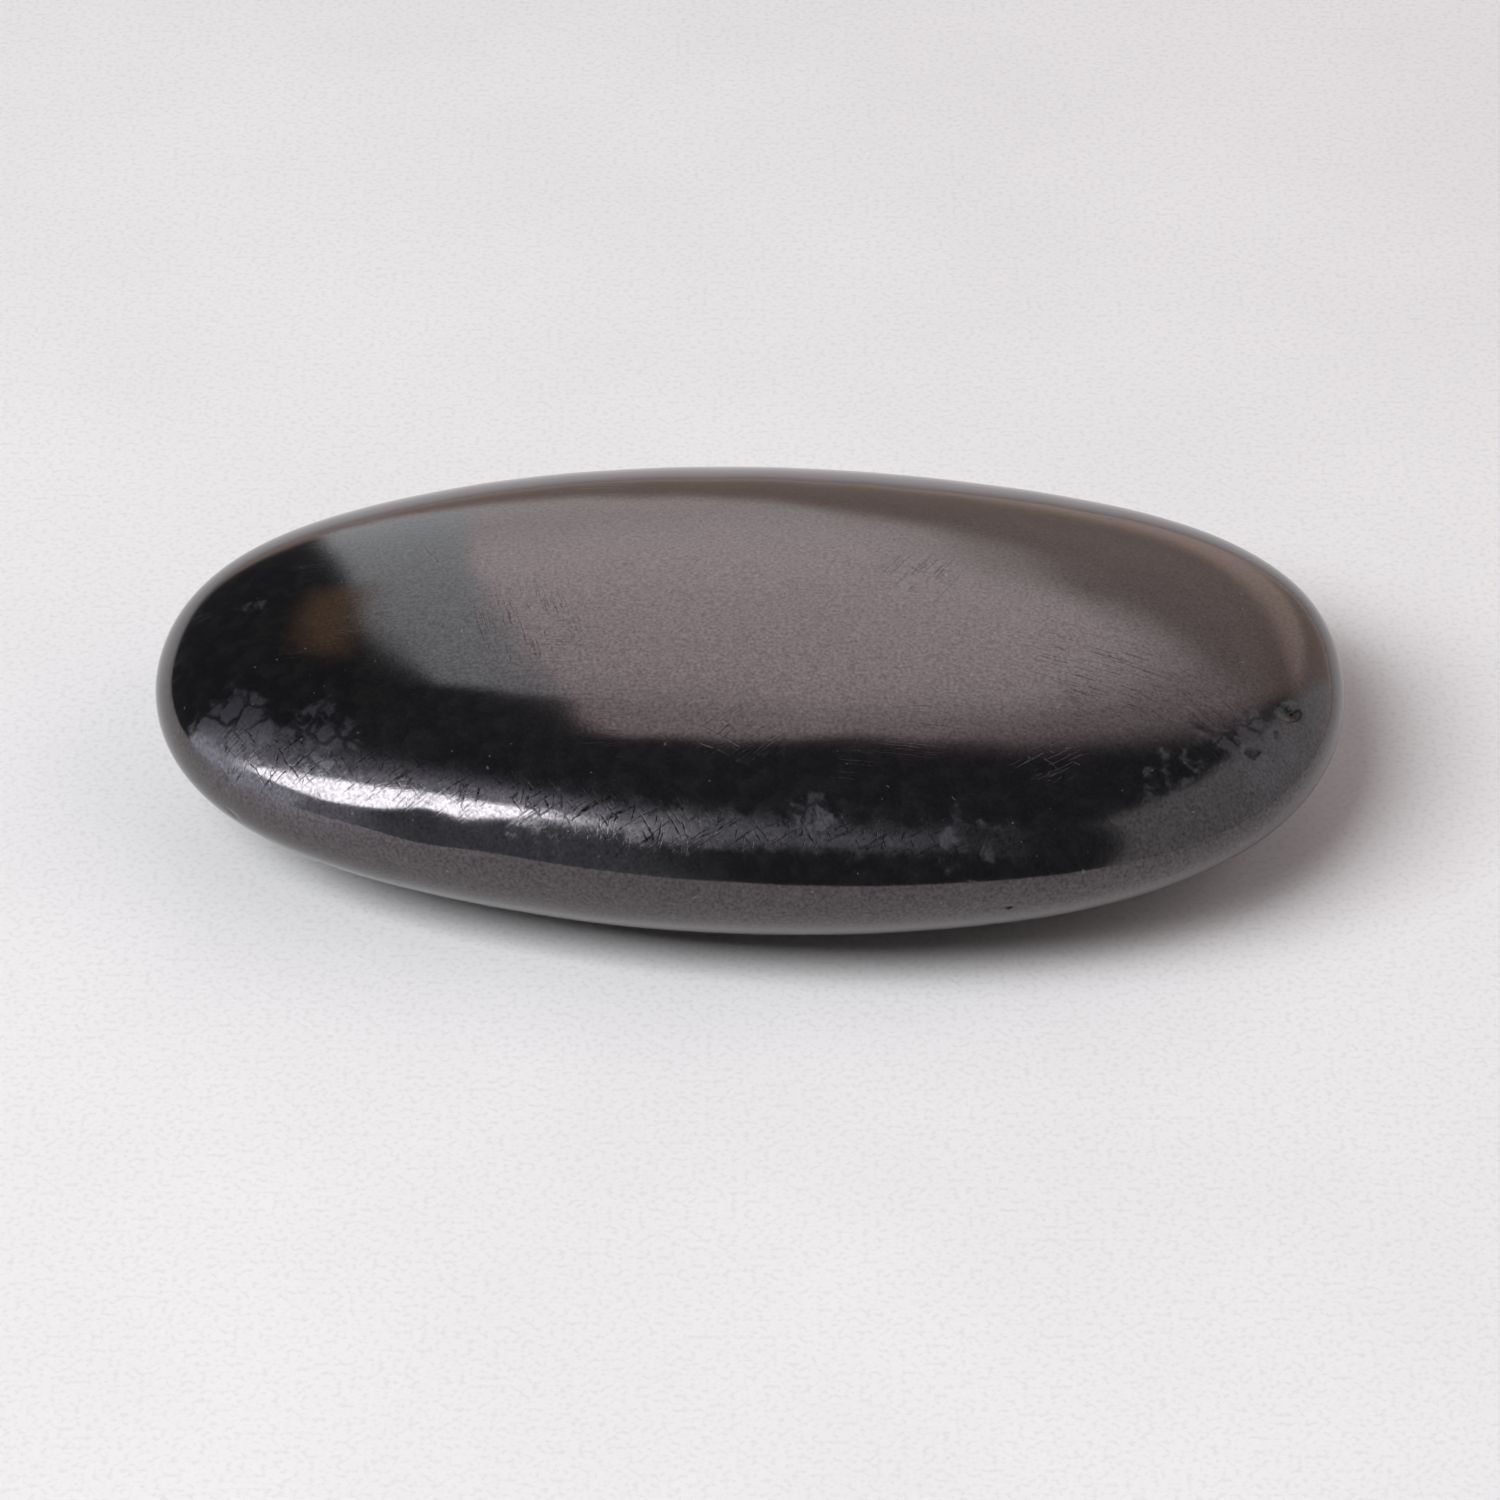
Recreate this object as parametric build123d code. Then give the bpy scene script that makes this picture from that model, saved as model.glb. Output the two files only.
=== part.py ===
from build123d import *
from math import cos, pi, sin, sqrt
import os

# A polished massage stone: one solid, hand-held pebble.
# X runs along the stone, Y across it, Z up. The origin is on the surface that the
# stone lies on, under the middle of its bounding box. All lengths are in millimetres.

# Driving dimensions
length = 70.0
mid_half_width = 20.3          # half the width at mid length
mid_half_thickness = 8.0       # half the thickness at mid length
land_depth = 0.15              # how much the flat underneath takes off the round base

# How the plan departs from an ellipse, as fractions of the half width.
# Station s runs from -1 at the narrow end to +1 at the blunt end.
width_taper = 0.073            # the blunt end is the wider one
width_belly = 0.077            # fuller towards both ends
width_shoulder = 0.19          # rounder, squarer ends

# How the side view departs from an ellipse, as fractions of the half thickness
thickness_taper = -0.094       # the blunt end is the thinner one
thickness_shoulder = 0.096     # a little fuller at both ends

# Where the middle of each section lies across the stone
bow = -1.19                    # the whole stone bows towards -Y
skew = -1.33                   # the blunt end sits nearer -Y than the narrow end
end_bow = -0.8                 # extra bow towards the ends

section_squareness = 0.014     # 0 makes every section an ellipse

# Fineness of the lofted surface
section_count = 28             # sections between the two tips
half_section_points = 12       # spans of the spline over each half of a section
search_steps = 400             # stations tried when looking for the widest and thickest places


def half_width(s):
    """Half the width of the section at station s."""
    taper = 1 + width_taper * s + width_belly * s**2 + width_shoulder * s**4
    return mid_half_width * taper * sqrt(1 - s**2)


def half_thickness(s):
    """Half the thickness of the section at station s."""
    taper = 1 + thickness_taper * s + thickness_shoulder * s**2
    return mid_half_thickness * taper * sqrt(1 - s**2)


def centre_y(s):
    """Sideways place of the middle of the section at station s."""
    return (1 - s**2) * (bow + skew * s + end_bow * s**2)


def section_point(s, turn):
    """A point of the section at station s, turn radians round from the +Y side."""
    across = (cos(turn) - section_squareness * cos(3 * turn)) / (1 - section_squareness)
    up = (sin(turn) + section_squareness * sin(3 * turn)) / (1 - section_squareness)
    x = s * length / 2
    y = centre_y(s) + half_width(s) * across
    z = half_thickness(s) * up
    return Vector(x, y, z)


def section_half(s, first_turn):
    """One half of a section's outline, from side to side over the top or underneath."""
    fractions = [i / half_section_points for i in range(half_section_points + 1)]
    points = [section_point(s, first_turn + pi * fraction) for fraction in fractions]
    squareness_gain = (1 + 3 * section_squareness) / (1 - section_squareness)
    steepness = pi * half_thickness(s) * squareness_gain * cos(first_turn)
    start = Vector(0, 0, steepness)
    return Edge.make_spline(points, tangents=[start, -start], parameters=fractions, scale=False)


def section_wire(s):
    """The closed outline of the stone across its length at station s."""
    return Wire([section_half(s, 0), section_half(s, pi)])


def round_stone():
    """The stone before its base is ground: a smooth loft from tip to tip."""
    stations = [-cos(pi * i / (section_count + 1)) for i in range(1, section_count + 1)]
    narrow_tip = Vertex(-length / 2, 0, 0)
    blunt_tip = Vertex(length / 2, 0, 0)
    sections = [narrow_tip, *[section_wire(s) for s in stations], blunt_tip]
    return Solid.make_loft(sections)


def massage_stone():
    """The round stone with a small flat ground on its base to lie on."""
    stations = [-cos(pi * i / search_steps) for i in range(search_steps + 1)]
    near_side = min(centre_y(s) - half_width(s) for s in stations)
    far_side = max(centre_y(s) + half_width(s) for s in stations)
    round_base = -max(half_thickness(s) for s in stations)
    land_z = round_base + land_depth

    ground_off = Box(length, 2 * length, length, align=(Align.CENTER, Align.CENTER, Align.MAX))
    body = round_stone() - ground_off.moved(Location((0, 0, land_z)))
    return body.moved(Location((0, -(near_side + far_side) / 2, -land_z)))


os.makedirs("parts", exist_ok=True)
export_step(massage_stone(), "parts/massage_stone.step")
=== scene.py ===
from math import cos, pi, radians, sin

import bpy
import numpy as np
from mathutils import Matrix, Vector


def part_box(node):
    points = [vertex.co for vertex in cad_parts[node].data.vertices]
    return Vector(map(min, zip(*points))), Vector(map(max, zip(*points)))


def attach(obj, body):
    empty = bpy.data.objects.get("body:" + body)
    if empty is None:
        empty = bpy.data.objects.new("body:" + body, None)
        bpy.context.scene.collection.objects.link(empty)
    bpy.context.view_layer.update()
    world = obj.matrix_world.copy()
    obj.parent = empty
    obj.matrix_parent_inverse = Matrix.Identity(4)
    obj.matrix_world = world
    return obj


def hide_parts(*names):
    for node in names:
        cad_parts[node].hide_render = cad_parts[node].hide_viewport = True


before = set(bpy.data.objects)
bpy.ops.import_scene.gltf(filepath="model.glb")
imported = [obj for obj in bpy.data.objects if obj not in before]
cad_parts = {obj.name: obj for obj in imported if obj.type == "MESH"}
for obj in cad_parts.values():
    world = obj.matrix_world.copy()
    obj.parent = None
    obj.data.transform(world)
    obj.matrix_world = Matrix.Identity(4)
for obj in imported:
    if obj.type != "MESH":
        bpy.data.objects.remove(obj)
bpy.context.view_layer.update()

MM = 0.001

# ---------------------------------------------------------------- shape of the stone
# The same surface as the CAD solid, in millimetres, made as an even grid of quads so that
# reflections run smoothly. Station s is -1 at the narrow end and +1 at the blunt end.
LENGTH = 70.0
MID_HALF_WIDTH = 20.3
MID_HALF_THICKNESS = 8.0
LAND_DEPTH = 0.15
WIDTH_TAPER, WIDTH_BELLY, WIDTH_SHOULDER = 0.073, 0.077, 0.19
THICKNESS_TAPER, THICKNESS_SHOULDER = -0.094, 0.096
BOW, SKEW, END_BOW = -1.19, -1.33, -0.8
SQUARENESS = 0.014

CELLS_ALONG, CELLS_ACROSS, CELLS_UP = 320, 180, 90
LAND_BLEND = 0.02              # how softly the flat underneath runs out, mm
# Waves of the hand-ground surface: wavelength and height in mm.
WAVES = [(17.0, 0.012), (9.0, 0.006), (5.0, 0.002)]
WAVES_PER_LENGTH = 6
WAVE_SEED = 7


def width_factor(s):
    return MID_HALF_WIDTH * (1 + WIDTH_TAPER * s + WIDTH_BELLY * s**2 + WIDTH_SHOULDER * s**4)


def thickness_factor(s):
    return MID_HALF_THICKNESS * (1 + THICKNESS_TAPER * s + THICKNESS_SHOULDER * s**2)


def centre_y(s):
    return (1 - s**2) * (BOW + SKEW * s + END_BOW * s**2)


def stone_from_sphere(unit):
    """Moves points of a unit sphere onto the stone, in millimetres."""
    s, side, rise = unit[:, 0], unit[:, 1], unit[:, 2]
    ring = np.maximum(side**2 + rise**2, 1e-12)
    triple_side = 4 * side**3 / ring - 3 * side
    triple_rise = 3 * rise - 4 * rise**3 / ring
    across = (side - SQUARENESS * triple_side) / (1 - SQUARENESS)
    up = (rise + SQUARENESS * triple_rise) / (1 - SQUARENESS)
    x = s * LENGTH / 2
    y = centre_y(s) + width_factor(s) * across
    z = thickness_factor(s) * up
    return np.column_stack([x, y, z])


def quad_sphere(cells_x, cells_y, cells_z):
    """A unit sphere of quads with no poles: a box grid pushed out onto the sphere."""
    cells = (cells_x, cells_y, cells_z)
    index = {}
    points = []
    quads = []

    def point(key):
        if key not in index:
            index[key] = len(points)
            points.append([np.tan((2 * k / n - 1) * pi / 4) for k, n in zip(key, cells)])
        return index[key]

    for axis in range(3):
        u_axis, v_axis = (axis + 1) % 3, (axis + 2) % 3
        for end in (0, cells[axis]):
            for u in range(cells[u_axis]):
                for v in range(cells[v_axis]):
                    corners = [(u, v), (u + 1, v), (u + 1, v + 1), (u, v + 1)]
                    if end == 0:
                        corners.reverse()
                    quad = []
                    for cu, cv in corners:
                        key = [0, 0, 0]
                        key[axis], key[u_axis], key[v_axis] = end, cu, cv
                        quad.append(point(tuple(key)))
                    quads.append(quad)
    points = np.array(points)
    return points / np.linalg.norm(points, axis=1)[:, None], quads


def smooth_max(value, floor, blend):
    """The larger of value and floor, with a rounded corner of half-width blend."""
    lift = np.clip((floor - value + blend) / (2 * blend), 0, 1)
    return np.where(value < floor - blend, floor, value + blend * lift**2)


def unevenness(points):
    """How far the hand-polished surface lies inside the even shape, in mm (never above it)."""
    rng = np.random.default_rng(WAVE_SEED)
    rise = np.zeros(len(points))
    for wavelength, height in WAVES:
        for _ in range(WAVES_PER_LENGTH):
            direction = rng.normal(size=3)
            direction *= 2 * pi / wavelength / np.linalg.norm(direction)
            rise += height * np.sin(points @ direction + rng.uniform(0, 2 * pi))
    return rise - rise.max()


def dent_depth(points, centre, lie, half_length, half_width, depth, edge):
    """Depth of one dent; a higher edge number gives it steeper sides and a flatter bottom."""
    offset = points - np.array(centre)
    lie = np.array(lie) / np.linalg.norm(lie)
    along = offset @ lie
    aside = np.linalg.norm(offset - along[:, None] * lie, axis=1)
    spread = (np.abs(along) / half_length) ** edge + (aside / half_width) ** edge
    return depth * np.exp(-spread)


# Dents in the surface: centre, the way it lies, half-length, half-width, depth, edge number (mm).
DENTS = [
    ((-18.3, -15.7, 10.2), (0.93, -0.34, 0.10), 2.1, 1.0, 0.090, 2),
    ((-13.6, -16.9, 10.3), (0.95, -0.28, 0.05), 2.2, 0.6, 0.030, 2),
    ((31.1, -6.1, 10.9), (0.72, 0.65, 0.20), 0.85, 0.40, 0.110, 4),
    ((28.6, -10.1, 11.1), (0.85, 0.50, 0.0), 0.50, 0.25, 0.070, 4),
    ((30.2, -8.3, 11.0), (0.80, 0.60, 0.0), 0.35, 0.20, 0.050, 4),
    ((14.5, -19.5, 7.1), (0.85, -0.30, -0.40), 0.80, 0.16, 0.060, 2),
    ((-29.7, -10.4, 6.8), (0.60, -0.60, -0.50), 0.50, 0.20, 0.060, 2),
    ((3.6, -17.6, 12.2), (0.60, -0.70, -0.40), 1.3, 0.6, 0.020, 2),
    ((25.6, -9.6, 12.2), (0.95, -0.30, 0.0), 0.60, 0.25, 0.030, 2),
]


def fill_box(points, low, high):
    """Stretches the points, by about a tenth of a millimetre at each end, until they fill the box."""
    lowest, highest = points.min(axis=0), points.max(axis=0)
    points -= lowest
    points *= (high - low) / (highest - lowest)
    points += low


def build_stone():
    """The stone's mesh: the even shape, pushed in by the unevenness and the dents, in the CAD box."""
    unit, quads = quad_sphere(CELLS_ALONG, CELLS_ACROSS, CELLS_UP)
    points = stone_from_sphere(unit)
    low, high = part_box("massage_stone")
    points[:, 1] += (low.y + high.y) / (2 * MM) - (points[:, 1].min() + points[:, 1].max()) / 2
    points[:, 2] -= points[:, 2].min() + LAND_DEPTH
    mesh = bpy.data.meshes.new("polished_stone")
    mesh.from_pydata((points * MM).tolist(), [], quads)
    outward = np.empty(3 * len(points))
    mesh.vertex_normals.foreach_get("vector", outward)
    shift = unevenness(points)
    for dent in DENTS:
        shift -= dent_depth(points, *dent)
    points += outward.reshape(-1, 3) * shift[:, None]
    points[:, 2] = smooth_max(points[:, 2], 0.0, LAND_BLEND)
    fill_box(points, np.array(low) / MM, np.array(high) / MM)
    mesh.vertices.foreach_set("co", (points * MM).ravel())
    mesh.polygons.foreach_set("use_smooth", [True] * len(mesh.polygons))
    mesh.update()
    stone = bpy.data.objects.new("polished_stone", mesh)
    bpy.context.scene.collection.objects.link(stone)
    return stone


# ---------------------------------------------------------------- node helpers
class Nodes:
    """Adds shader nodes to a tree; an input may be a number, a colour or another socket."""

    def __init__(self, tree):
        self.tree = tree

    def add(self, kind, inputs=None, **settings):
        node = self.tree.nodes.new(kind)
        for name, value in settings.items():
            setattr(node, name, value)
        for name, value in (inputs or {}).items():
            if isinstance(value, bpy.types.NodeSocket):
                self.tree.links.new(value, node.inputs[name])
            else:
                node.inputs[name].default_value = value
        return node

    def math(self, operation, *values, clamp=False):
        inputs = dict(enumerate(values))
        return self.add("ShaderNodeMath", inputs, operation=operation, use_clamp=clamp).outputs[0]

    def dot(self, first, second):
        inputs = {0: first, 1: second}
        return self.add("ShaderNodeVectorMath", inputs, operation="DOT_PRODUCT").outputs["Value"]

    def vector(self, operation, first, second=None, **named):
        inputs = {0: first, **named}
        if second is not None:
            inputs[1] = second
        return self.add("ShaderNodeVectorMath", inputs, operation=operation).outputs["Vector"]

    def length(self, vector):
        return self.add("ShaderNodeVectorMath", {0: vector}, operation="LENGTH").outputs["Value"]

    def largest(self, values):
        """The largest of several values that are all 0 or more."""
        total = 0.0
        for value in values:
            total = self.math("MAXIMUM", total, value)
        return total

    def weighted(self, base, parts):
        """The base plus each value times its weight."""
        total = base
        for value, weight in parts:
            total = self.math("MULTIPLY_ADD", value, weight, total)
        return total

    def noise(self, place, scale, detail, output=0):
        """Noise from 0 to 1; output 1 gives three noises as a vector."""
        inputs = {"Vector": place, "Scale": scale, "Detail": detail}
        return self.add("ShaderNodeTexNoise", inputs).outputs[output]

    def ramp(self, value, low, high):
        """A smooth step: 0 where value is low, 1 where it is high."""
        inputs = {"Value": value, "From Min": low, "From Max": high, "To Min": 0.0, "To Max": 1.0}
        return self.add("ShaderNodeMapRange", inputs, interpolation_type="SMOOTHSTEP").outputs[0]

    def mix(self, factor, first, second):
        node = self.add("ShaderNodeMix", data_type="RGBA")
        for socket, value in zip((node.inputs[0], node.inputs[6], node.inputs[7]), (factor, first, second)):
            if isinstance(value, bpy.types.NodeSocket):
                self.tree.links.new(value, socket)
            else:
                socket.default_value = value
        return node.outputs[2]

    def surface(self, inputs):
        """Ends a material's tree with one Principled shader."""
        shader = self.add("ShaderNodeBsdfPrincipled", inputs)
        self.add("ShaderNodeOutputMaterial", {"Surface": shader.outputs[0]})


def empty_material(name):
    material = bpy.data.materials.new(name)
    material.use_nodes = True
    material.node_tree.nodes.clear()
    return material, Nodes(material.node_tree)


def grey(level, tint=(1.0, 1.0, 1.0)):
    return (level * tint[0], level * tint[1], level * tint[2], 1.0)


# ---------------------------------------------------------------- studio
# The surroundings are a soft studio of flat patches, which show only in reflections. Matt surfaces
# are lit by the three lights below instead, which don't show in reflections.
# A patch is a flat sheet far away: its corners are directions from the stone, given as
# (bearing, elevation) in degrees, clockwise as seen from the stone. Bearing 0 is straight behind
# the stone, 90 to its right, 180 on the camera's side and 270 to its left. Later patches lie over
# earlier ones. A patch of level 1 has the brightness ROOM_STRENGTH.
ROOM_STRENGTH = 0.73
BACKDROP = 0.8                 # what the camera sees past the floor
BASE_LEVEL = (0.08, (1.00, 1.02, 1.18))
WARM, NEUTRAL, COOL = (1.15, 1.03, 1.03), (1.05, 1.08, 1.07), (1.00, 1.07, 1.20)
BROWN = (1.33, 1.04, 0.91)
# name: softness of the edges in degrees, level, tint, corners
PATCHES = {
    "ceiling": (20, 0.11, COOL, [(0, 50), (90, 50), (180, 50), (270, 50)]),
    "front_room": (12, 0.40, COOL, [(190, -12), (200, 44), (212, 50), (222, 20), (222, -12)]),
    "right_wall": (9, 0.74, NEUTRAL, [
        (38, -12), (36, 27), (50, 41), (72, 54), (98, 62), (120, 60), (134, 38), (147, -12)]),
    "left_ceiling": (14, 0.60, COOL, [
        (180, 50), (172, 62), (215, 72), (262, 68), (285, 58), (300, 45), (262, 36), (222, 44)]),
    "left_wall": (10, 0.95, COOL, [
        (222, -12), (222, 26), (262, 46), (282, 50), (294, 32), (306, 10), (316, -12)]),
    "left_low_wall": (8, 2.20, COOL, [(240, -12), (236, 18), (288, 18), (304, -2), (308, -12)]),
    "soffit": (8, 0.80, COOL, [(160, 47), (160, 61), (212, 66), (212, 46)]),
    "window_glow": (8, 1.5, COOL, [
        (201, 53), (212, 64), (240, 63), (256, 50), (266, 34), (265, 19), (232, 18), (217, 32)]),
    "window": (2, 14.5, (1.00, 1.05, 1.10), [
        (209, 51), (214, 56), (232, 53), (250, 39), (262, 28), (262, 21), (232, 21.5), (218, 32)]),
    "low_wall": (4, 0.50, BROWN, [(-24, -12), (-22, 8), (10, 40), (30, 50), (40, 42), (41, -12)]),
    "skirting": (4, 0.9, BROWN, [(-45, -6), (-45, 1), (0, 2), (60, 4), (60, -6)]),
    "rail": (6, 0.95, BROWN, [
        (2, -3), (5, 7), (20, 15), (37, 28), (44, 30), (34, 12), (22, 4), (12, -3)]),
    "panel": (5, 1.5, WARM, [
        (-12, 3), (-17.5, 50), (-26, 72.5), (8, 70.5), (33, 56), (36, 37), (0, 13)]),
    "panel_end": (14, 1.0, WARM, [(22, 66), (40, 60), (43, 36), (22, 24), (15, 42)]),
}
# The round brighter part of the panel: centre, angular radius in degrees, level, tint.
PANEL_GLOW = ((-1, 41), 24, 2.1, WARM)
GLOW_CORE = 0.4                # share of the glow's radius inside which it is even
# Patches that lie over the glow as well, in the same form.
PATCHES_OVER_GLOW = {
    "panel_shade": (9, 0.66, (1.24, 1.03, 0.97), [
        (7, 12), (11, 31), (24, 35), (36, 37), (34, 28), (16, 14)]),
    "panel_side": (1.5, 1.4, (1.00, 1.07, 1.10), [(-13, 4), (-27, 55), (-15.5, 60), (-7, 9)]),
    "dark_corner": (1.5, 0.05, COOL, [
        (-74, -2), (-72, 40), (-50, 64), (-28, 58.5), (-13.5, 5), (-22, 2), (-50, -8)]),
    "dark_upper": (2, 0.08, COOL, [
        (-60, 55), (-50, 70), (-25.5, 71.5), (-15, 60), (-25.5, 57.5)]),
    "lamp": (5, 0.32, (1.5, 0.95, 0.55), [
        (-25, 31), (-31, 42), (-27, 45), (-20, 39), (-16, 30), (-20, 27)]),
}
# Soft boxes one metre from the stone: bearing, elevation and roll in degrees, width and height in
# metres, power in watts, tint.
LIGHTS = {
    "window_light": (-130, 46.5, 27, (0.80, 0.42), 11.0, (0.98, 1.0, 1.02)),
    "ceiling_light": (0, 90, 0, (1.6, 1.6), 2.2, (1.10, 0.97, 0.96)),
    "wall_light": (105, 40, 0, (1.2, 0.7), 2.3, (1.10, 0.97, 0.96)),
}


def heading(bearing, elevation):
    """Unit vector of a direction given in degrees."""
    turn, rise = radians(bearing), radians(elevation)
    return Vector((sin(turn) * cos(rise), cos(turn) * cos(rise), sin(rise)))


def patch_mask(nodes, direction, corners, softness):
    """1 inside a patch and 0 outside; each edge is a plane through the stone."""
    mask = None
    half_band = radians(softness) / 2
    for start, end in zip(corners, corners[1:] + corners[:1]):
        inward = heading(*start).cross(heading(*end)).normalized()
        depth = nodes.dot(direction, inward)
        edge = nodes.ramp(depth, -half_band, half_band)
        mask = edge if mask is None else nodes.math("MULTIPLY", mask, edge)
    return mask


def lay_patches(nodes, direction, colour, patches):
    for softness, level, tint, corners in patches.values():
        mask = patch_mask(nodes, direction, corners, softness)
        colour = nodes.mix(mask, colour, grey(level, tint))
    return colour


def lay_panel_glow(nodes, direction, colour):
    centre, radius, level, tint = PANEL_GLOW
    rim, core = cos(radians(radius)), cos(radians(radius * GLOW_CORE))
    glow = nodes.ramp(nodes.dot(direction, heading(*centre)), rim, core)
    softness, corners = PATCHES["panel"][0], PATCHES["panel"][3]
    within = patch_mask(nodes, direction, corners, softness)
    return nodes.mix(nodes.math("MULTIPLY", within, glow), colour, grey(level, tint))


def build_room():
    world = bpy.data.worlds.new("studio")
    world.use_nodes = True
    bpy.context.scene.world = world
    tree = world.node_tree
    tree.nodes.clear()
    nodes = Nodes(tree)
    direction = nodes.add("ShaderNodeTexCoord").outputs["Generated"]
    colour = lay_patches(nodes, direction, grey(*BASE_LEVEL), PATCHES)
    colour = lay_panel_glow(nodes, direction, colour)
    colour = lay_patches(nodes, direction, colour, PATCHES_OVER_GLOW)

    lit = nodes.add("ShaderNodeBackground", {"Color": colour, "Strength": ROOM_STRENGTH})
    pale = nodes.add("ShaderNodeBackground", {"Color": grey(BACKDROP), "Strength": 1.0})
    seen = nodes.add("ShaderNodeLightPath").outputs["Is Camera Ray"]
    both = nodes.add("ShaderNodeMixShader", {0: seen, 1: lit.outputs[0], 2: pale.outputs[0]})
    nodes.add("ShaderNodeOutputWorld", {"Surface": both.outputs[0]})
    world.cycles_visibility.diffuse = False


def build_light(name, bearing, elevation, roll, size, watts, tint):
    """A soft box one metre away that lights matt surfaces but shows in no reflection."""
    data = bpy.data.lights.new(name, "AREA")
    data.shape = "RECTANGLE"
    data.size, data.size_y = size
    data.energy = watts
    data.color = tint
    light = bpy.data.objects.new(name, data)
    direction = heading(bearing, elevation)
    light.location = direction
    turn = direction.to_track_quat("Z", "Y").to_matrix() @ Matrix.Rotation(radians(roll), 3, "Z")
    light.rotation_euler = turn.to_euler()
    light.visible_camera = False
    light.visible_glossy = False
    bpy.context.scene.collection.objects.link(light)


# ---------------------------------------------------------------- floor
FLOOR_HALF_SIZE = 3.0
FLOOR_TINT = (1.0, 0.99, 0.995)
FLOOR_DARK, FLOOR_PALE = grey(0.84, FLOOR_TINT), grey(0.87, FLOOR_TINT)
FLOOR_PORE = grey(0.55, (1.0, 0.98, 0.98))
FLOOR_ROUGHNESS, FLOOR_POLISH = 0.5, 0.18
PORE_STRENGTH = 0.26
GRAIN_HEIGHT = 0.2 * MM
# Scales of the floor's textures, per metre.
FLOOR_SCALES = {"clouds": 45.0, "grains": 900.0, "pores": 2800.0}


def floor_material():
    material, nodes = empty_material("floor_plaster")
    place = nodes.add("ShaderNodeTexCoord").outputs["Object"]
    cloud = nodes.noise(place, FLOOR_SCALES["clouds"], detail=6.0)
    grain = nodes.noise(place, FLOOR_SCALES["grains"], detail=3.0)
    pores = nodes.ramp(nodes.noise(place, FLOOR_SCALES["pores"], detail=2.0), 0.46, 0.70)
    colour = nodes.mix(nodes.ramp(cloud, 0.3, 0.7), FLOOR_DARK, FLOOR_PALE)
    colour = nodes.mix(nodes.math("MULTIPLY", pores, PORE_STRENGTH), colour, FLOOR_PORE)
    bump = nodes.add("ShaderNodeBump", {"Height": grain, "Strength": 0.15, "Distance": GRAIN_HEIGHT})
    nodes.surface({
        "Base Color": colour,
        "Roughness": FLOOR_ROUGHNESS,
        "Specular IOR Level": FLOOR_POLISH,
        "Normal": bump.outputs[0],
    })
    return material


def build_floor():
    mesh = bpy.data.meshes.new("floor")
    reach = FLOOR_HALF_SIZE
    corners = [(-reach, -reach, 0), (reach, -reach, 0), (reach, reach, 0), (-reach, reach, 0)]
    mesh.from_pydata(corners, [], [(0, 1, 2, 3)])
    floor = bpy.data.objects.new("floor", mesh)
    bpy.context.scene.collection.objects.link(floor)
    mesh.materials.append(floor_material())


# ---------------------------------------------------------------- stone surface
# Places on the stone are in millimetres in the object's frame.
# Scuffed areas, whose colour also carries a painted bluish window reflection: centre, reach, and how much
# of the area is scuffed.
SCUFFS = [
    ((-29.8, -8.3, 10.8), 5.5, 0.58),        # blotches on the narrow end's front shoulder
    ((-24.5, -10.6, 12.0), 5.0, 0.50),
    ((-12.0, -17.0, 10.5), 5.0, 0.38),
    ((3.6, -17.6, 12.2), 2.4, 0.50),         # pale patch by the front shoulder
    ((12.0, -18.5, 10.5), 5.0, 0.36),
    ((29.0, -10.0, 10.8), 5.5, 0.56),        # round the pits at the blunt end
    ((20.1, -7.5, 13.6), 4.5, 0.38),
    ((0.5, -14.2, 14.0), 3.0, 0.38),
    ((-29.0, 1.8, 13.0), 1.6, 0.50),
    ((24.0, -13.5, 11.2), 5.0, 0.42),
    ((9.0, 4.0, 15.2), 8.0, 0.30),
]
# Unpolished bottoms of the deepest dents: centre and reach.
PITS = [
    ((31.1, -6.1, 10.9), 0.9),
    ((28.6, -10.1, 11.1), 0.5),
    ((30.2, -8.3, 11.0), 0.4),
    ((14.5, -19.5, 7.1), 0.4),
]
# Patches of fine parallel scratches: centre, reach, and the way they run, in degrees about Z.
HATCHES = [
    ((-12.8, -3.5, 15.3), 5.0, 78),
    ((9.9, 1.5, 15.4), 4.0, -62),
    ((20.0, -6.5, 13.8), 6.0, 14),
    ((-0.5, -13.0, 14.2), 3.0, -42),
    ((16.8, -13.5, 12.9), 3.0, -35),
    ((25.5, -8.5, 12.4), 5.0, 40),
]
STONE_IOR = 1.85
STONE_SPECULAR_TINT = (1.0, 0.90, 0.93, 1.0)
BASE_ROUGHNESS, BASE_POLISH = 0.05, 0.075
CUT_DEPTH = 0.004 * MM
# Ranges over which the wandering moves blotches, scratches and the shoulder's outline, mm.
BENT_RANGE, WAVY_RANGE, RAGGED_RANGE = 1.2, 0.25, 3.5
# Scales of the stone's textures, per mm.
STONE_SCALES = {
    "wander": 0.9, "cloud": 0.22, "mottle": 0.9, "grain": 5.5, "fine_grain": 5.0,
    "specks": 2.4, "groups": 0.16, "cracks": 0.55,
}
# Scratches of one patch: length, width and share.
HATCH_LINES = (2.4, 0.12, 0.10)
# Long faint scratches over the whole stone: turn, length, width and share.
LONG_LINES = (4, 5.0, 0.11, 0.02)
# The worn shoulder along the front and the fainter ledge that carries on from it: start, end and
# half-width. The scratches on them run three ways: turn, length, width and share.
SHOULDER = ((-29.0, -9.5, 10.6), (-5.0, -17.6, 11.4), 2.5)
LEDGE = ((-6.0, -17.8, 11.5), (15.0, -18.4, 10.8), 1.9)
RUBBED_LINES = [(-22, 2.6, 0.15, 0.18), (55, 1.6, 0.17, 0.08), (-75, 1.4, 0.17, 0.06)]
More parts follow.
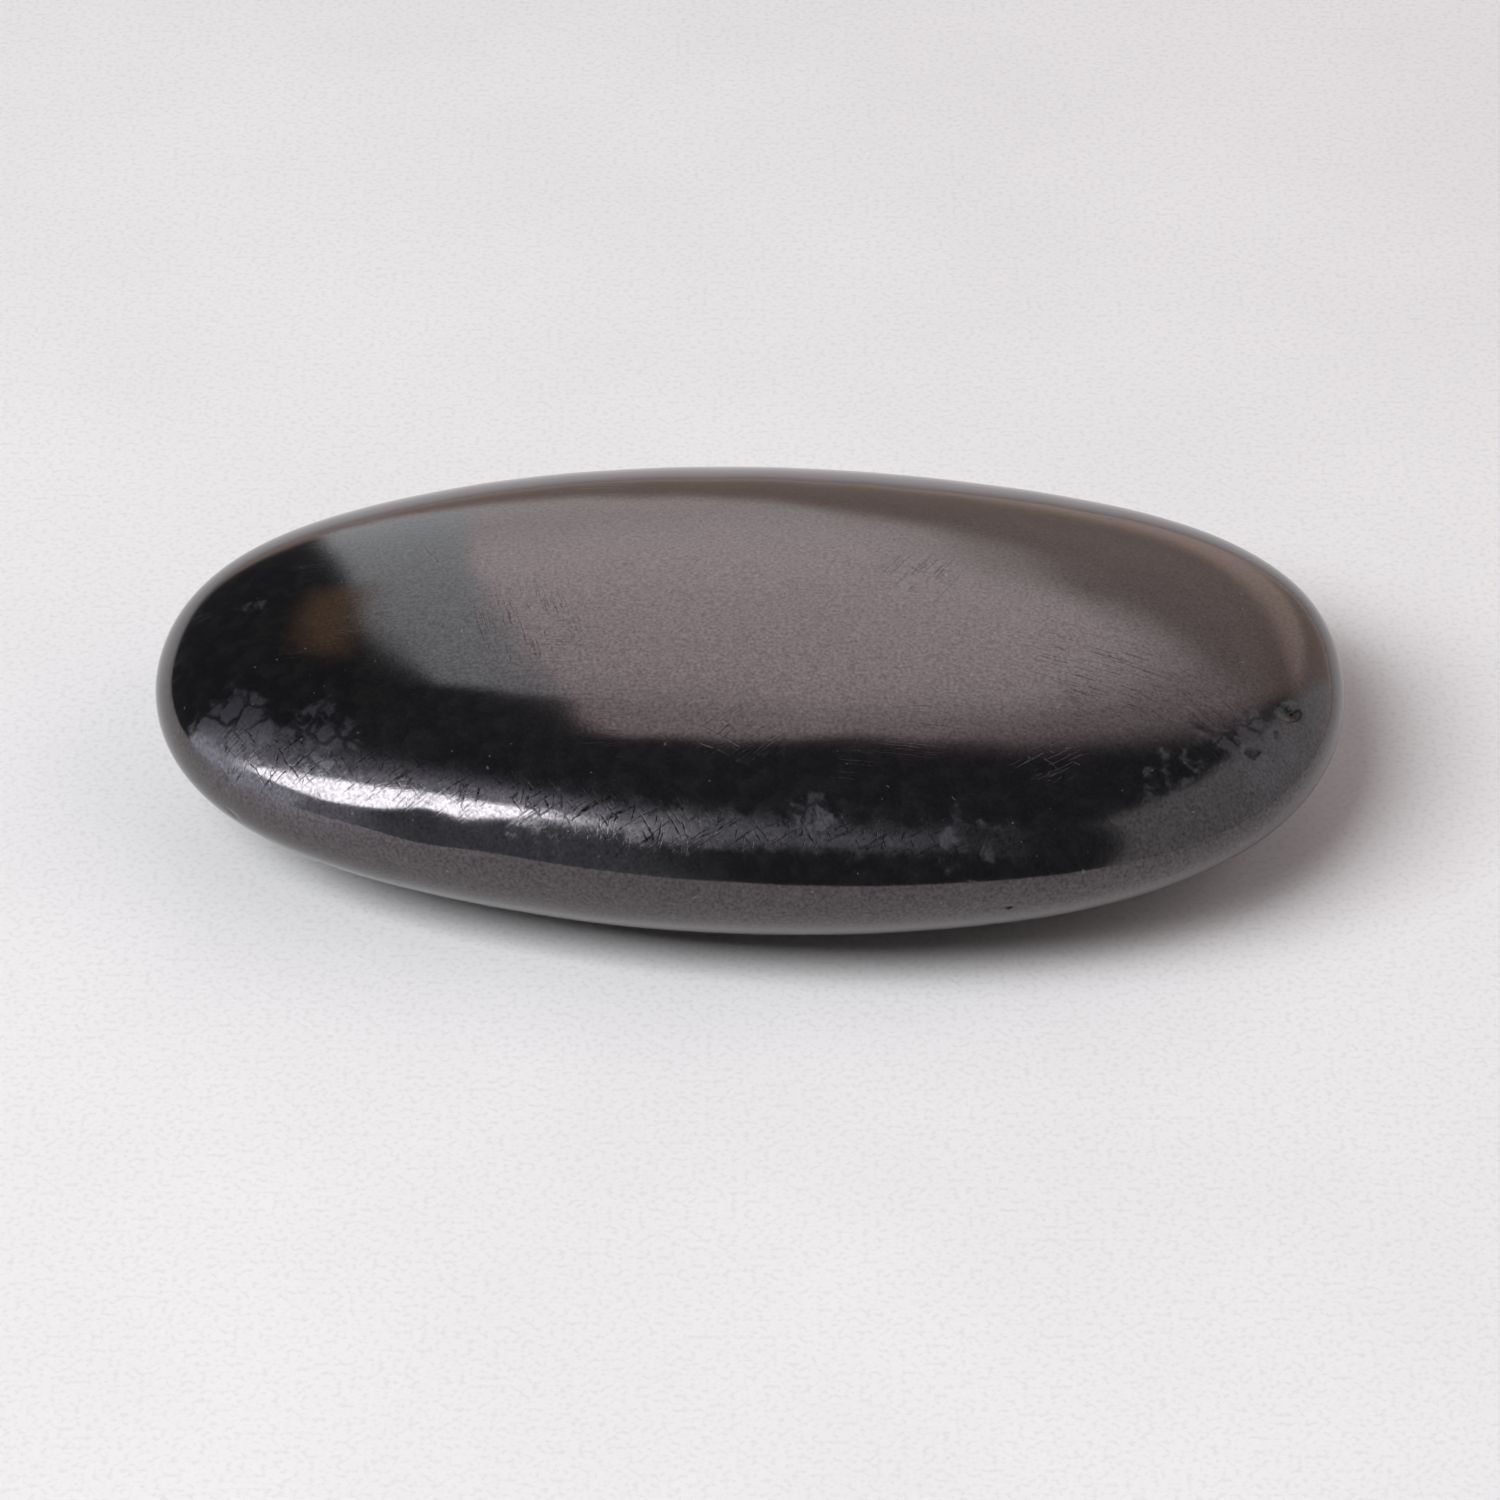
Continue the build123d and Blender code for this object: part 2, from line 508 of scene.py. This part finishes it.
# Single scratches: start, end and half-width.
SCRATCHES = [
    ((-3.6, -13.0, 14.3), (-0.8, -14.4, 13.8), 0.05),
    ((-2.6, -12.4, 14.5), (-0.6, -13.7, 14.1), 0.04),
    ((-1.9, -11.6, 14.7), (-0.2, -12.9, 14.3), 0.04),
    ((-11.8, 6.5, 15.3), (-10.2, 6.9, 15.3), 0.05),
    ((14.5, 7.0, 14.8), (16.5, 3.6, 14.9), 0.05),
    ((8.7, 2.6, 15.4), (11.4, 1.2, 15.4), 0.05),
    ((17.5, -9.4, 13.7), (21.9, -8.4, 13.3), 0.06),
    ((19.0, -8.6, 13.6), (24.6, -6.4, 13.0), 0.05),
    ((21.0, -6.0, 13.9), (25.8, -5.2, 12.9), 0.05),
    ((16.6, -13.5, 13.1), (17.9, -14.5, 12.6), 0.07),
    ((16.9, -12.9, 13.2), (18.6, -13.6, 12.7), 0.05),
    ((-13.6, -0.5, 15.5), (-12.6, -6.2, 15.3), 0.05),
    ((-14.6, -1.5, 15.5), (-13.6, -7.2, 15.1), 0.05),
    ((-19.2, 5.0, 15.0), (-17.7, 2.0, 15.3), 0.08),
    ((-9.6, -17.0, 12.2), (-9.2, -18.3, 10.3), 0.05),
]


def segment_mask(nodes, place, start, end, half_width):
    """1 on the line from start to end, fading to 0 at half_width from it."""
    start, end = Vector(start), Vector(end)
    span = end - start
    offset = nodes.vector("SUBTRACT", place, start)
    share = nodes.math("MULTIPLY", nodes.dot(offset, span), 1 / span.length_squared, clamp=True)
    nearest = nodes.vector("SCALE", span, Scale=share)
    distance = nodes.length(nodes.vector("SUBTRACT", offset, nearest))
    return nodes.ramp(distance, half_width, half_width * 0.3)


def spot_mask(nodes, place, centre, reach):
    """1 near the centre, fading to 0 at reach from it."""
    return nodes.ramp(nodes.length(nodes.vector("SUBTRACT", place, centre)), reach, reach * 0.25)


def hairlines(nodes, place, turn, length, width, share):
    """Fine parallel scratches turned about Z; a larger share covers more of the surface."""
    laid = nodes.add("ShaderNodeMapping", {"Vector": place, "Rotation": (0, 0, radians(turn))}).outputs[0]
    squeezed = nodes.vector("MULTIPLY", laid, (1 / length, 1 / width, 1 / length))
    value = nodes.noise(squeezed, 1.0, detail=2.0)
    faintest = 0.62 - 0.24 * share
    return nodes.ramp(value, faintest, faintest + 0.05)


def scuffing(nodes, place, bent, mottle):
    """Scuffed blotches, broken up by cracks that are still polished; in the colour they also get a painted
    bluish window reflection.
    """
    patches = []
    for centre, reach, cover in SCUFFS:
        level = nodes.math("MULTIPLY_ADD", spot_mask(nodes, place, centre, reach), cover, mottle)
        patches.append(nodes.ramp(level, 0.86, 1.02))
    inputs = {"Vector": bent, "Scale": STONE_SCALES["cracks"]}
    edges = nodes.add("ShaderNodeTexVoronoi", inputs, feature="DISTANCE_TO_EDGE").outputs[0]
    cracks = nodes.ramp(edges, 0.12, 0.02)
    return nodes.math("MULTIPLY", nodes.largest(patches), nodes.math("MULTIPLY_ADD", cracks, -0.8, 1.0))


def fine_scratches(nodes, bent, wavy):
    """Long faint scratches in groups, and the patches of parallel ones."""
    groups = nodes.ramp(nodes.noise(bent, STONE_SCALES["groups"], detail=2.0), 0.48, 0.70)
    faint = nodes.math("MULTIPLY", groups, 0.45)
    lines = [nodes.math("MULTIPLY", hairlines(nodes, wavy, *LONG_LINES), faint)]
    for centre, reach, turn in HATCHES:
        near = nodes.math("MULTIPLY", spot_mask(nodes, bent, centre, reach), 0.9)
        lines.append(nodes.math("MULTIPLY", hairlines(nodes, wavy, turn, *HATCH_LINES), near))
    return nodes.largest(lines)


def surface_colour(nodes, mottle, scuff_and_sheen, single, specks):
    """Mottled near-black, greyer where it is scuffed, scratched or speckled; the scuffs' blue tint is a
    painted reflection of the window.
    """
    dark = grey(0.0035, (1.0, 0.98, 1.12))
    pale = grey(0.0075, (1.05, 1.0, 1.0))
    colour = nodes.mix(nodes.ramp(mottle, 0.4, 0.7), dark, pale)
    # Scuffs: grey wear plus a blue tint that is a painted reflection of the cool window's glow.
    colour = nodes.mix(nodes.math("MULTIPLY", scuff_and_sheen, 0.5), colour, grey(0.032, (0.92, 0.98, 1.20)))
    colour = nodes.mix(nodes.math("MULTIPLY", single, 0.5), colour, grey(0.05))
    return nodes.mix(specks, colour, grey(0.06))


def stone_material():
    material, nodes = empty_material("black_stone")
    metres = nodes.add("ShaderNodeTexCoord").outputs["Object"]
    place = nodes.vector("SCALE", metres, Scale=1 / MM)
    wander = nodes.noise(place, STONE_SCALES["wander"], detail=2.0, output=1)
    wander = nodes.vector("SUBTRACT", wander, (0.5, 0.5, 0.5))
    bent = nodes.vector("ADD", place, nodes.vector("SCALE", wander, Scale=BENT_RANGE))
    wavy = nodes.vector("ADD", place, nodes.vector("SCALE", wander, Scale=WAVY_RANGE))
    ragged = nodes.vector("ADD", place, nodes.vector("SCALE", wander, Scale=RAGGED_RANGE))

    cloud = nodes.noise(place, STONE_SCALES["cloud"], detail=6.0)
    mottle = nodes.noise(bent, STONE_SCALES["mottle"], detail=5.0)
    grain = nodes.noise(place, STONE_SCALES["grain"], detail=3.0)
    fine_grain = nodes.noise(place, STONE_SCALES["fine_grain"], detail=3.0)
    specks = nodes.ramp(nodes.noise(place, STONE_SCALES["specks"], detail=1.0), 0.76, 0.80)

    scuff_and_sheen = scuffing(nodes, place, bent, mottle)
    single = nodes.largest([segment_mask(nodes, wavy, *scratch) for scratch in SCRATCHES])
    hair = fine_scratches(nodes, bent, wavy)
    shoulder = segment_mask(nodes, ragged, *SHOULDER)
    ledge = segment_mask(nodes, ragged, *LEDGE)
    worn = nodes.math("MAXIMUM", shoulder, nodes.math("MULTIPLY", ledge, 0.8))
    rubbed = nodes.largest([hairlines(nodes, wavy, *lines) for lines in RUBBED_LINES])
    rubbed = nodes.math("MULTIPLY", rubbed, worn)
    thin = nodes.math("MAXIMUM", single, hair)
    dull = nodes.largest([spot_mask(nodes, bent, *pit) for pit in PITS])

    roughness = nodes.weighted(BASE_ROUGHNESS, [
        (cloud, 0.06),
        (grain, 0.04),
        (scuff_and_sheen, 0.16),
        (rubbed, 0.10),
        (nodes.math("MULTIPLY", shoulder, mottle), 0.05),
        (nodes.math("MULTIPLY", ledge, mottle), 0.30),
        (thin, 0.10),
    ])
    cuts = nodes.math("MAXIMUM", thin, nodes.math("MULTIPLY", rubbed, 0.7))
    height = nodes.weighted(0.0, [
        (grain, 0.25),
        (cuts, -1.0),
        (nodes.math("MULTIPLY", scuff_and_sheen, mottle), -0.8),
    ])
    bump = nodes.add("ShaderNodeBump", {"Height": height, "Strength": 1.0, "Distance": CUT_DEPTH})
    polish = nodes.weighted(BASE_POLISH, [
        (fine_grain, 0.85),
        (rubbed, -0.38),
        (thin, -0.22),
        (dull, -0.40),
    ])

    nodes.surface({
        "Base Color": surface_colour(nodes, mottle, scuff_and_sheen, single, specks),
        "Roughness": nodes.math("ADD", roughness, 0.0, clamp=True),
        "IOR": STONE_IOR,
        "Specular IOR Level": nodes.math("ADD", polish, 0.0, clamp=True),
        "Specular Tint": STONE_SPECULAR_TINT,
        "Normal": bump.outputs[0],
    })
    return material


# ---------------------------------------------------------------- camera
CAMERA_ELEVATION = 36          # degrees above the floor, in front of the stone
CAMERA_DISTANCE = 0.35
CAMERA_AIM = Vector((0.0, -0.00107, 0.00464))
SENSOR_WIDTH, FOCAL_LENGTH = 36.0, 142.5


def build_camera():
    elevation = radians(CAMERA_ELEVATION)
    data = bpy.data.cameras.new("camera")
    data.sensor_width = SENSOR_WIDTH
    data.lens = FOCAL_LENGTH
    data.clip_start = 0.01
    camera = bpy.data.objects.new("camera", data)
    back = Vector((0.0, -cos(elevation), sin(elevation)))
    camera.location = CAMERA_AIM + CAMERA_DISTANCE * back
    camera.rotation_euler = back.to_track_quat("Z", "Y").to_euler()
    bpy.context.scene.collection.objects.link(camera)
    bpy.context.scene.camera = camera


bpy.context.scene.view_settings.view_transform = "Standard"
build_camera()
build_room()
for light_name, settings in LIGHTS.items():
    build_light(light_name, *settings)
build_floor()
stone = build_stone()
stone.data.materials.append(stone_material())
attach(stone, "root")
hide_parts("massage_stone")
